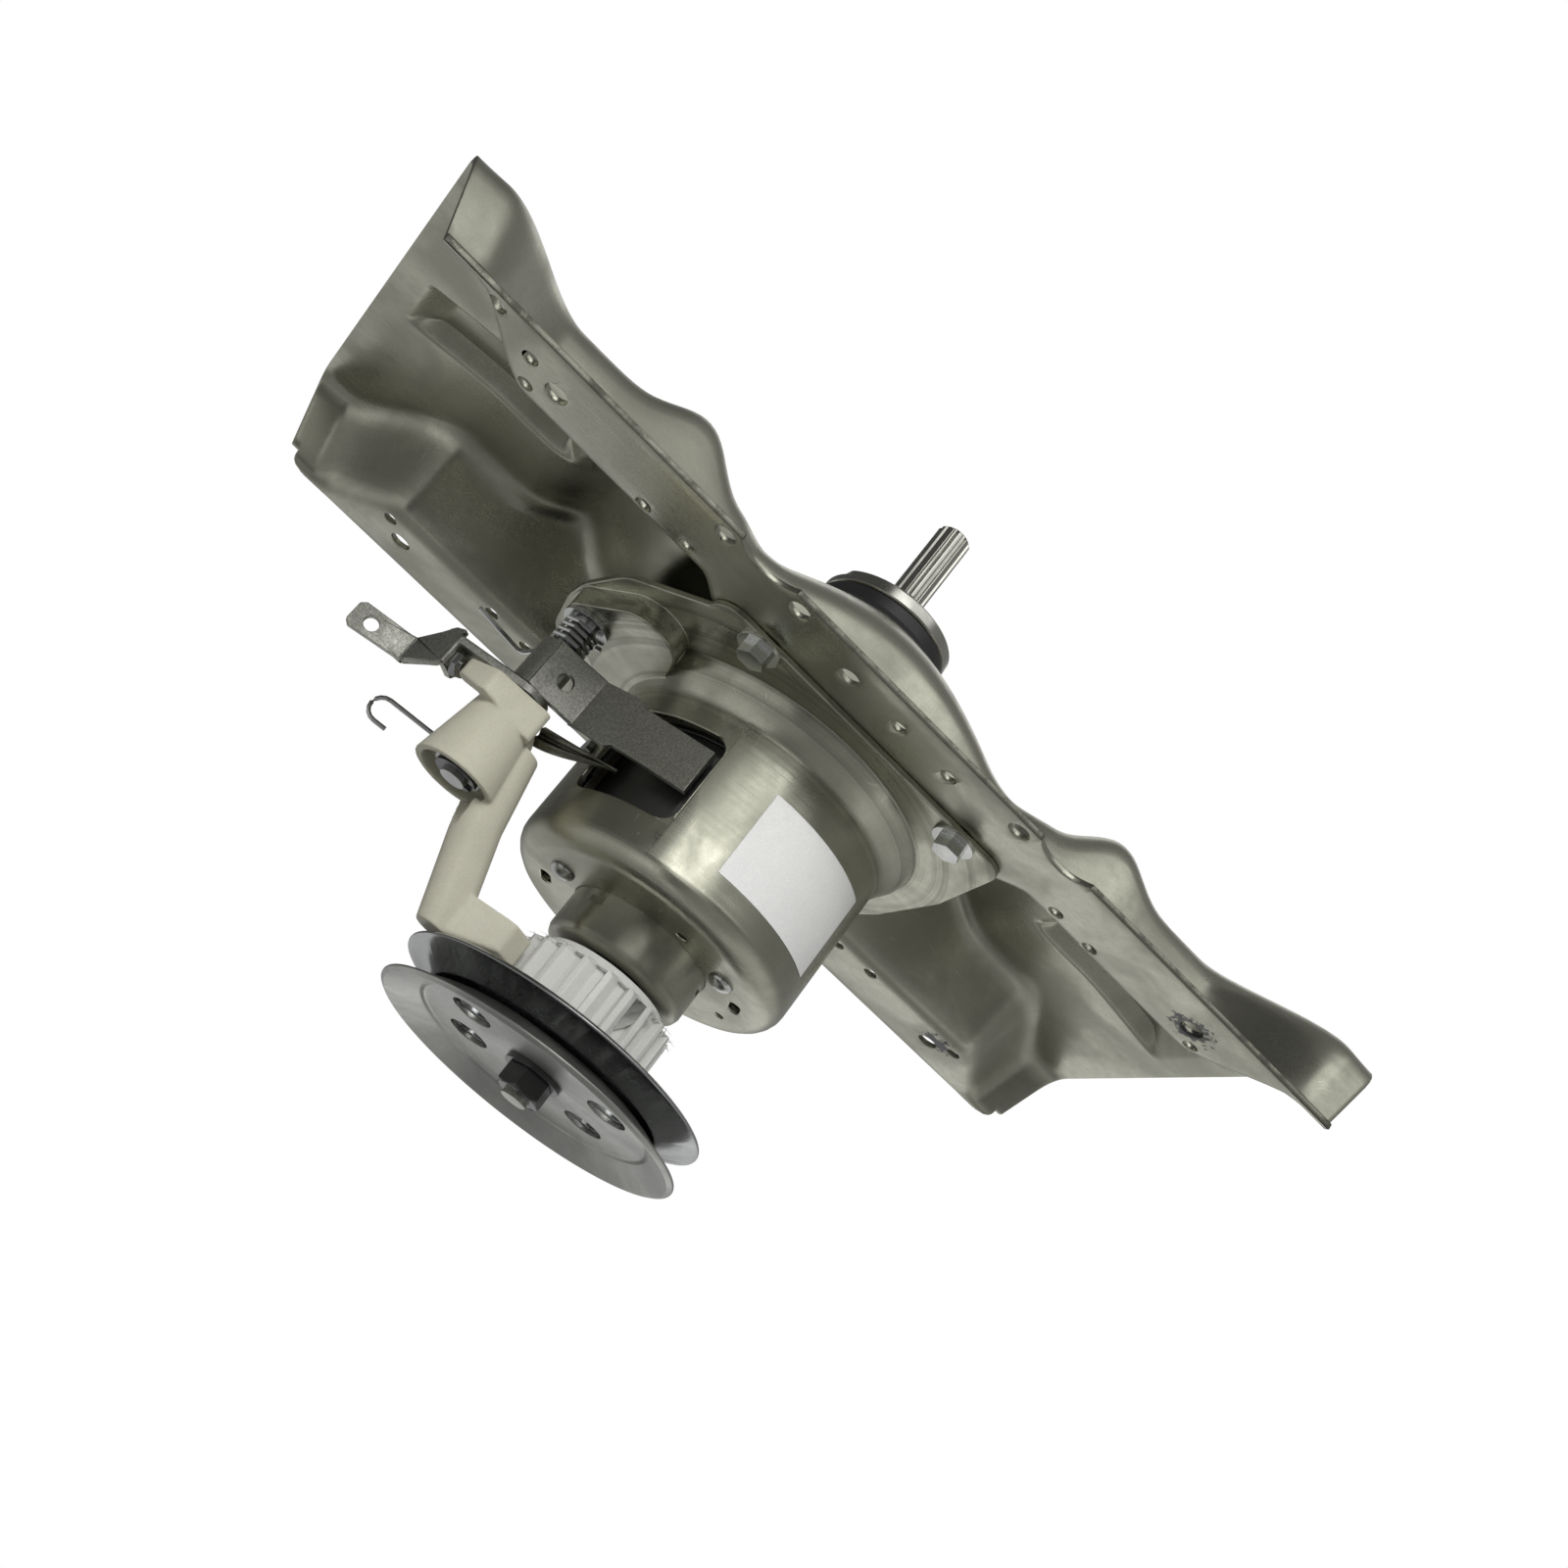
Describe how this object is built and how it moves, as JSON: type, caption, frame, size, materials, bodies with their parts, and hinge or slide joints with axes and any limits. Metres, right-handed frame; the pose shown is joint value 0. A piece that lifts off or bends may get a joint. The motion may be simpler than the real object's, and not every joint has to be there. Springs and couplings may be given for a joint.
{
  "type": "washing machine clutch",
  "caption": "Planetary reduction clutch for a top-loading washer: pressed bracket, brake housing, splined output shaft, belt pulley, band brake lever and ratchet pawl.",
  "frame": {"origin": "on the clutch's axis, in the plane of the undersides of the bracket's mounting flanges", "axes": "+X along the bracket, +Z along the shaft towards its splined end, +Y across the bracket away from the brake lever's window"},
  "size_m": [0.3494, 0.175, 0.2256],
  "materials": {
    "pressed_steel": "satin",
    "housing_steel": "satin",
    "turned_steel": "polished",
    "zinc_steel": "bright zinc",
    "bearing_steel": "ground",
    "seal_rubber": "matte",
    "band_steel": "satin",
    "friction_lining": "matte",
    "lever_steel": "matte zinc",
    "dark_steel": "oiled",
    "spring_steel": "drawn",
    "gear_steel": "satin",
    "bronze": "sintered",
    "pawl_nylon": "moulded",
    "ratchet_nylon": "moulded",
    "gear_nylon": "moulded",
    "pulley_steel": "pressed zinc",
    "label_paper": "coated paper"
  },
  "bodies": {
    "frame_body": {"mounting_bracket": "pressed_steel", "upper_bearing_housing": "turned_steel", "brake_housing": "housing_steel", "housing_bolts": "zinc_steel", "weld_nuts": "zinc_steel", "bearing_cap": "housing_steel", "cap_screws": "zinc_steel", "upper_bearing_outer": "bearing_steel", "lower_bearing_outer": "bearing_steel", "water_seal": "seal_rubber", "brake_band": "band_steel", "brake_lining": "friction_lining", "band_anchor": "zinc_steel", "pivot_pin": "zinc_steel", "pin_washer": "zinc_steel", "pin_clip": "dark_steel", "lever_spring": "spring_steel", "blank_label": "label_paper"},
    "upper_cage": {"upper_bearing_balls": "bearing_steel"},
    "lower_cage": {"lower_bearing_balls": "bearing_steel"},
    "lever": {"brake_lever": "lever_steel", "adjusting_screw": "zinc_steel", "lock_nut": "zinc_steel"},
    "pawl": {"pawl_arm": "pawl_nylon", "pawl_spring": "spring_steel"},
    "spin_drum": {"upper_bearing_inner": "bearing_steel", "lower_bearing_inner": "bearing_steel", "drum_shaft": "turned_steel", "drum_cover": "band_steel", "brake_drum": "band_steel", "cover_screws": "zinc_steel", "ring_gear": "gear_steel", "upper_bush": "bronze", "lower_bush": "bronze"},
    "sleeve": {"clutch_sleeve": "ratchet_nylon", "clutch_spring": "spring_steel"},
    "input": {"input_shaft": "turned_steel", "pulley_upper_half": "pulley_steel", "pulley_lower_half": "pulley_steel", "pulley_washer": "dark_steel", "pulley_nut": "dark_steel"},
    "carrier": {"planet_carrier": "gear_steel", "pulsator_shaft": "turned_steel", "planet_pins": "gear_steel"},
    "planet_1": {"planet_gear_1": "gear_nylon"},
    "planet_2": {"planet_gear_2": "gear_nylon"},
    "planet_3": {"planet_gear_3": "gear_nylon"}
  },
  "joints": [
    {"name": "drum_turn", "type": "hinge", "parent": "frame_body", "child": "spin_drum", "pos_m": [0, 0, 0], "axis": [0, 0, 1], "continuous": true},
    {"name": "upper_cage_turn", "type": "hinge", "parent": "frame_body", "child": "upper_cage", "pos_m": [0, 0, 0.0445], "axis": [0, 0, 1], "continuous": true},
    {"name": "lower_cage_turn", "type": "hinge", "parent": "frame_body", "child": "lower_cage", "pos_m": [0, 0, -0.0725], "axis": [0, 0, 1], "continuous": true},
    {"name": "pulley_turn", "type": "hinge", "parent": "spin_drum", "child": "input", "pos_m": [0, 0, -0.11], "axis": [0, 0, 1], "continuous": true},
    {"name": "carrier_turn", "type": "hinge", "parent": "spin_drum", "child": "carrier", "pos_m": [0, 0, 0], "axis": [0, 0, 1], "continuous": true},
    {"name": "planet_1_turn", "type": "hinge", "parent": "carrier", "child": "planet_1", "pos_m": [0.0195, 0, -0.035], "axis": [0, 0, 1], "continuous": true},
    {"name": "planet_2_turn", "type": "hinge", "parent": "carrier", "child": "planet_2", "pos_m": [-0.00975, 0.01689, -0.035], "axis": [0, 0, 1], "continuous": true},
    {"name": "planet_3_turn", "type": "hinge", "parent": "carrier", "child": "planet_3", "pos_m": [-0.00975, -0.01689, -0.035], "axis": [0, 0, 1], "continuous": true},
    {"name": "clutch_sleeve_turn", "type": "hinge", "parent": "spin_drum", "child": "sleeve", "pos_m": [0, 0, -0.09], "axis": [0, 0, 1], "range_deg": [-12, 0], "stiffness_Nm_per_rad": 0.5, "springref_deg": 5.73},
    {"name": "brake_lever_turn", "type": "hinge", "parent": "frame_body", "child": "lever", "pos_m": [-0.07, -0.005, -0.029], "axis": [0, 0, -1], "range_deg": [0, 10], "stiffness_Nm_per_rad": 2, "springref_deg": -11.46},
    {"name": "pawl_arm_turn", "type": "hinge", "parent": "frame_body", "child": "pawl", "pos_m": [-0.07, -0.005, -0.055], "axis": [0, 0, -1], "range_deg": [0, 10]}
  ],
  "couplings": [
    {"joint": "upper_cage_turn", "follows": "drum_turn", "ratio": 0.41139},
    {"joint": "lower_cage_turn", "follows": "drum_turn", "ratio": 0.3971},
    {"joint": "carrier_turn", "follows": "pulley_turn", "ratio": 0.19231},
    {"joint": "planet_1_turn", "follows": "pulley_turn", "ratio": -0.50481},
    {"joint": "planet_2_turn", "follows": "pulley_turn", "ratio": -0.50481},
    {"joint": "planet_3_turn", "follows": "pulley_turn", "ratio": -0.50481},
    {"joint": "pawl_arm_turn", "follows": "brake_lever_turn", "ratio": 1}
  ]
}
